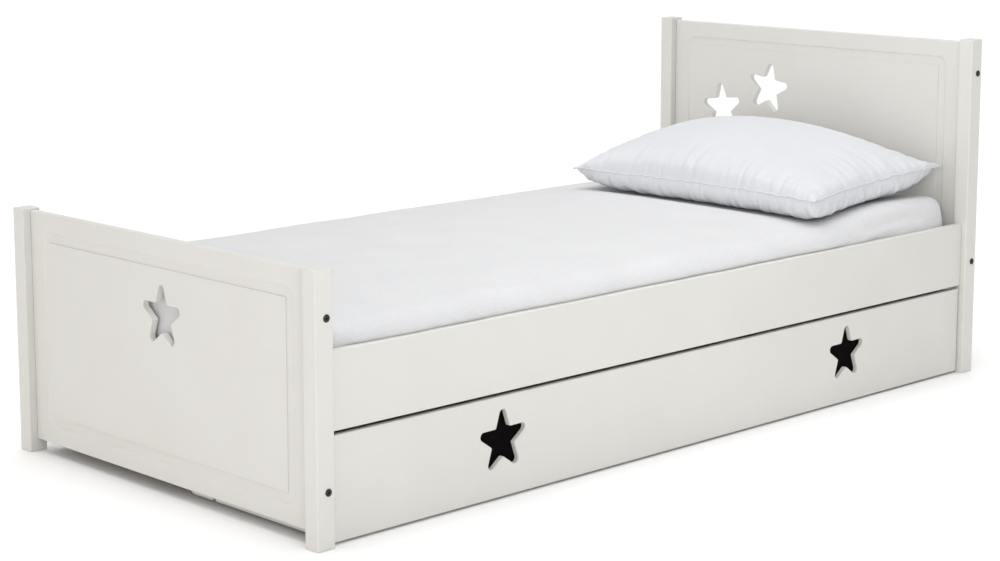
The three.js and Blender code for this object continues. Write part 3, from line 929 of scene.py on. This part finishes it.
def make_pillow():
    """Two panels that share their seam, simulated from the stuffed shape with the cut's lengths."""
    cells_u, cells_v = PILLOW["cells"]
    cut_u, cut_v = PILLOW["cut"]
    middle = Vector((sum(PILLOW["x"]) / 2, sum(PILLOW["y"]) / 2, MATTRESS["top"]))
    points, flat, seam, numbers = [], [], [], {}
    for panel in (0, 1):
        for i in range(cells_u + 1):
            for j in range(cells_v + 1):
                on_seam = i in (0, cells_u) or j in (0, cells_v)
                if panel == 1 and on_seam:
                    numbers[1, i, j] = numbers[0, i, j]
                    continue
                u, v = 2 * i / cells_u - 1, 2 * j / cells_v - 1
                numbers[panel, i, j] = len(points)
                if on_seam:
                    seam.append(len(points))
                points.append(pillow_point(u, v, panel))
                flat.append(middle + Vector((u * cut_u / 2, v * cut_v / 2, 0)))
    faces = []
    for panel in (0, 1):
        for i in range(cells_u):
            for j in range(cells_v):
                corners = [(i, j), (i + 1, j), (i + 1, j + 1), (i, j + 1)]
                face = [numbers[(panel, *corner)] for corner in corners]
                faces.append(face if panel == 0 else face[::-1])
    mesh = bpy.data.meshes.new("pillow_case")
    mesh.from_pydata(points, [], faces)
    mesh.materials.append(COTTON)
    mesh.shade_smooth()
    layer = mesh.uv_layers.new(name="cut")
    for loop in mesh.loops:
        place = flat[loop.vertex_index] - middle
        layer.data[loop.index].uv = (place.x, place.y)
    piece = bpy.data.objects.new("pillow_case", mesh)
    scene.collection.objects.link(piece)
    piece.shape_key_add(name="Basis")
    cut_key = piece.shape_key_add(name="flat_cut")
    for number, place in enumerate(flat):
        cut_key.data[number].co = place
    cloth_settings(
        piece,
        PILLOW["frames"],
        PILLOW["pressure"],
        PILLOW["stiffness"],
        PILLOW["bending"],
        cut_key,
        seam,
    )
    support = pillow_support()
    simulate(piece, PILLOW["frames"])
    bpy.data.objects.remove(support)
    rounder = piece.modifiers.new("rounder", "SUBSURF")
    rounder.levels = rounder.render_levels = 1
    smooth = bpy.data.meshes.new_from_object(piece.evaluated_get(bpy.context.evaluated_depsgraph_get()))
    piece.modifiers.clear()
    piece.data = smooth
    crinkle(smooth)
    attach(piece, "bed")
    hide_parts("pillow")


def crinkle(mesh):
    """Adds the fine creases of the cotton."""
    half_x, half_y = PILLOW["cut"][0] / 2, PILLOW["cut"][1] / 2
    width, reach = CREASE["width"], CREASE["length"]
    cut = [None] * len(mesh.vertices)
    for loop, coordinate in zip(mesh.loops, mesh.uv_layers["cut"].data):
        cut[loop.vertex_index] = coordinate.uv.copy()
    normals = [vertex.normal.copy() for vertex in mesh.vertices]
    for vertex, flat, normal in zip(mesh.vertices, cut, normals):
        from_x, from_y = half_x - abs(flat.x), half_y - abs(flat.y)
        from_seam = min(from_x, from_y)
        if from_seam < ON_SEAM:
            continue
        under = int(normal.z < 0)
        seed_y, seed_x = CREASE["seeds"][under]
        along_y = noise.noise(Vector((flat.y / width, flat.x / reach, seed_y)))
        along_x = noise.noise(Vector((flat.x / width, flat.y / reach, seed_x)))
        rise = along_y * math.exp(-from_x / reach) + along_x * math.exp(-from_y / reach)
        rise *= CREASE["height"] * (1 + CREASE["under"] * under) * min(1, from_seam / CREASE["seam"])
        everywhere = noise.noise(Vector((flat.x, flat.y, under)) / CREASE["all_over_width"])
        vertex.co += normal * (rise + CREASE["all_over"] * everywhere)


def make_piping():
    """A thin corded edge sewn into the pillow's seam."""
    cells_u, cells_v = PILLOW["cells"]
    walk = [(i, 0) for i in range(cells_u)] + [(cells_u, j) for j in range(cells_v)]
    walk += [(i, cells_v) for i in range(cells_u, 0, -1)] + [(0, j) for j in range(cells_v, 0, -1)]
    line = [Vector(pillow_point(2 * i / cells_u - 1, 2 * j / cells_v - 1, 0)) for i, j in walk]
    bm = bmesh.new()
    rings = []
    for index, point in enumerate(line):
        ahead = (line[(index + 1) % len(line)] - line[index - 1]).normalized()
        side = ahead.cross(Vector((0, 0, 1))).normalized()
        above = side.cross(ahead)
        ring = []
        for turn in range(PIPING["sides"]):
            angle = 2 * math.pi * turn / PIPING["sides"]
            out = side * math.cos(angle) + above * math.sin(angle)
            ring.append(bm.verts.new(point + PIPING["radius"] * out))
        rings.append(ring)
    for index, ring in enumerate(rings):
        bridge(bm, ring, rings[(index + 1) % len(rings)])
    add_piece("pillow_piping", bm, COTTON_CORD, "pillow_cotton")


make_pillow()
make_piping()

# The mattress: a foam block in its ticking, with a fitted sheet of stretch terry pulled over it.

SHEET = {
    "gap": 0.0035,  # between it and the foam
    "thickness": 0.001,
    "tuck": 0.07,  # how far it turns in under the mattress
    "cells": (92, 42),
    "spare": 1.006,  # its springs' lengths, as a share of its first shape
    "pressure": -0.4,
    "stiffness": 40,
    "bending": 0.5,
    "rest_gap": 0.001,
    "frames": 14,
}
# The rings of the shell below its top: each part, and how far down it they lie.
SHELL_LEVELS = (
    ("shoulder", (0.25, 0.5, 0.75, 1.0)),
    ("side", (0.05, 0.1, 0.16, 0.3, 0.5, 0.75, 1.0)),
    ("edge", (0.5, 1.0)),
    ("tuck", (0.35, 0.7, 1.0)),
)
# The sheet's waves: the height of each, and its length along x, y and z.
RIPPLES = {
    "top": ((0.0022, (0.22, 0.16, 1)), (0.0012, (0.07, 0.035, 0.2))),
    "side": ((0.006, (0.13, 0.13, 0.3)), (0.003, (0.04, 0.04, 0.12))),
}


def on_outline(x, y, inset, radius):
    """A point of the mattress's outer rectangle, moved in by `inset` and round the corner."""
    half_x, half_y = MATTRESS["half"]
    x *= (half_x - inset) / half_x
    y *= (half_y - inset) / half_y
    core_x = max(min(x, half_x - inset - radius), radius + inset - half_x)
    core_y = max(min(y, half_y - inset - radius), radius + inset - half_y)
    away = Vector((x - core_x, y - core_y))
    if away.length < 1e-6:
        return x, y
    away = away.normalized() * radius
    return core_x + away.x, core_y + away.y


def ripple(x, y, z, waves):
    return sum(
        size * noise.noise(Vector((x / length[0], y / length[1], z / length[2])))
        for size, length in waves
    )


def over_rail(x, z):
    """How far the near side swells out above the rail, between the posts."""
    above = z - OVER_RAIL["rail_top"]
    from_end = MATTRESS["half"][0] - abs(x)
    between = smooth_step((from_end - OVER_RAIL["from_post"]) / OVER_RAIL["post_slope"])
    rising = smooth_step(above / OVER_RAIL["rise"])
    fading = smooth_step((above - OVER_RAIL["full"]) / OVER_RAIL["fade"])
    return OVER_RAIL["swell"] * between * rising * (1 - fading)


def mattress_shell(inset, is_sheet):
    """Points, faces and lowest ring of the mattress's shape. The sheet also ripples and turns under."""
    half_x, half_y = MATTRESS["half"]
    cells_x, cells_y = SHEET["cells"]
    shoulder = MATTRESS["shoulder"]
    points, faces, grid = [], [], {}
    for i in range(cells_x + 1):
        for j in range(cells_y + 1):
            x, y = half_x * (2 * i / cells_x - 1), half_y * (2 * j / cells_y - 1)
            x, y = on_outline(x, y, shoulder, MATTRESS["corner"] - shoulder)
            z = mattress_height(x + MATTRESS["middle"][0], y + MATTRESS["middle"][1]) - inset
            if is_sheet:
                z += ripple(x, y, 1, RIPPLES["top"])
            grid[i, j] = len(points)
            points.append([x, y, z])
    for i in range(cells_x):
        for j in range(cells_y):
            faces.append([grid[i, j], grid[i + 1, j], grid[i + 1, j + 1], grid[i, j + 1]])
    rim = [(i, 0) for i in range(cells_x)] + [(cells_x, j) for j in range(cells_y)]
    rim += [(i, cells_y) for i in range(cells_x, 0, -1)] + [(0, j) for j in range(cells_y, 0, -1)]
    border = [grid[place] for place in rim]
    above = border
    lower = MATTRESS["bottom"] + MATTRESS["foot_edge"]
    levels = [
        (part, share)
        for part, shares in SHELL_LEVELS
        for share in shares
        if is_sheet or part != "tuck"
    ]
    for part, share in levels:
        ring = []
        for (i, j), start in zip(rim, border):
            x0, y0 = half_x * (2 * i / cells_x - 1), half_y * (2 * j / cells_y - 1)
            drop = shoulder * MATTRESS["shoulder_drop"]
            top = points[start][2] - drop
            turn = math.pi / 2 * share
            if part == "shoulder":
                into = shoulder * (1 - math.sin(turn))
                z = points[start][2] - drop * (1 - math.cos(turn))
            elif part == "side":
                into = -MATTRESS["bulge"] * math.sin(math.pi * share)
                z = top + (lower - top) * share
            elif part == "edge":
                into = MATTRESS["foot_edge"] * (1 - math.cos(turn))
                z = lower - (MATTRESS["foot_edge"] - inset) * math.sin(turn)
            else:
                into = MATTRESS["foot_edge"] + SHEET["tuck"] * share
                z = MATTRESS["bottom"] + inset
            if is_sheet and part in ("shoulder", "side"):
                into += ripple(x0, y0, z, RIPPLES["side"])
            if j == 0:
                into -= over_rail(x0, z)
            radius = MATTRESS["corner"] - max(into, 0) * MATTRESS["corner_ease"]
            x, y = on_outline(x0, y0, into + inset, radius)
            ring.append(len(points))
            points.append([x, y, z])
        for index in range(len(ring)):
            following = (index + 1) % len(ring)
            faces.append([above[index], ring[index], ring[following], above[following]])
        above = ring
    for point in points:
        point[0] += MATTRESS["middle"][0]
        point[1] += MATTRESS["middle"][1]
    return points, faces, above


def shell_piece(name, points, faces, material):
    mesh = bpy.data.meshes.new(name)
    mesh.from_pydata(points, [], faces)
    mesh.materials.append(material)
    mesh.shade_smooth()
    piece = bpy.data.objects.new(name, mesh)
    scene.collection.objects.link(piece)
    return piece


def make_mattress():
    points, faces, rim = mattress_shell(SHEET["gap"] + SHEET["thickness"], False)
    foam = shell_piece("mattress_foam", points, [*faces, rim[::-1]], TICKING)
    points, faces, hem = mattress_shell(0, True)
    sheet = shell_piece("fitted_sheet", points, faces, TERRY)
    sheet.shape_key_add(name="Basis")
    cut_key = sheet.shape_key_add(name="flat_cut")
    for number, point in enumerate(points):
        cut_key.data[number].co = Vector(point) * SHEET["spare"]
    foam.modifiers.new("collision", "COLLISION")
    foam.collision.thickness_outer = SHEET["rest_gap"]
    cloth = cloth_settings(
        sheet,
        SHEET["frames"],
        SHEET["pressure"],
        SHEET["stiffness"],
        SHEET["bending"],
        cut_key,
        hem,
    )
    cloth.collision_settings.distance_min = SHEET["rest_gap"]
    simulate(sheet, SHEET["frames"])
    foam.modifiers.clear()
    thick = sheet.modifiers.new("thick", "SOLIDIFY")
    thick.thickness = SHEET["thickness"]
    thick.offset = -1
    rounder = sheet.modifiers.new("rounder", "SUBSURF")
    rounder.levels = rounder.render_levels = 1
    for piece in (foam, sheet):
        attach(piece, "bed")
    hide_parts("mattress")


make_mattress()

# Finishes of the CAD nodes that stay ------------------------------------------------------------

# The first of these words that is in a node's name gives its finish; the others are painted.
FINISHES = (
    ("castor_wheel", RUBBER),
    ("bolt", SHADE_DARKENED_BOLT),
    ("castor", ZINC),
    ("hook", ZINC),
    ("ledge", WOOD_ALONG),
    ("slat", WOOD_ACROSS),
    ("bearer", WOOD_ACROSS),
)
WELD_WITHIN = 0.00001

for name, node in nodes.items():
    if node.hide_render:
        continue
    finish = next((finish for word, finish in FINISHES if word in name), PAINT)
    for index in range(len(node.data.materials)):
        node.data.materials[index] = finish
    node.data.shade_smooth()
    weld = node.modifiers.new("weld", "WELD")
    weld.merge_threshold = WELD_WITHIN
    even_shading(node, SPLIT_ANGLE["board"])
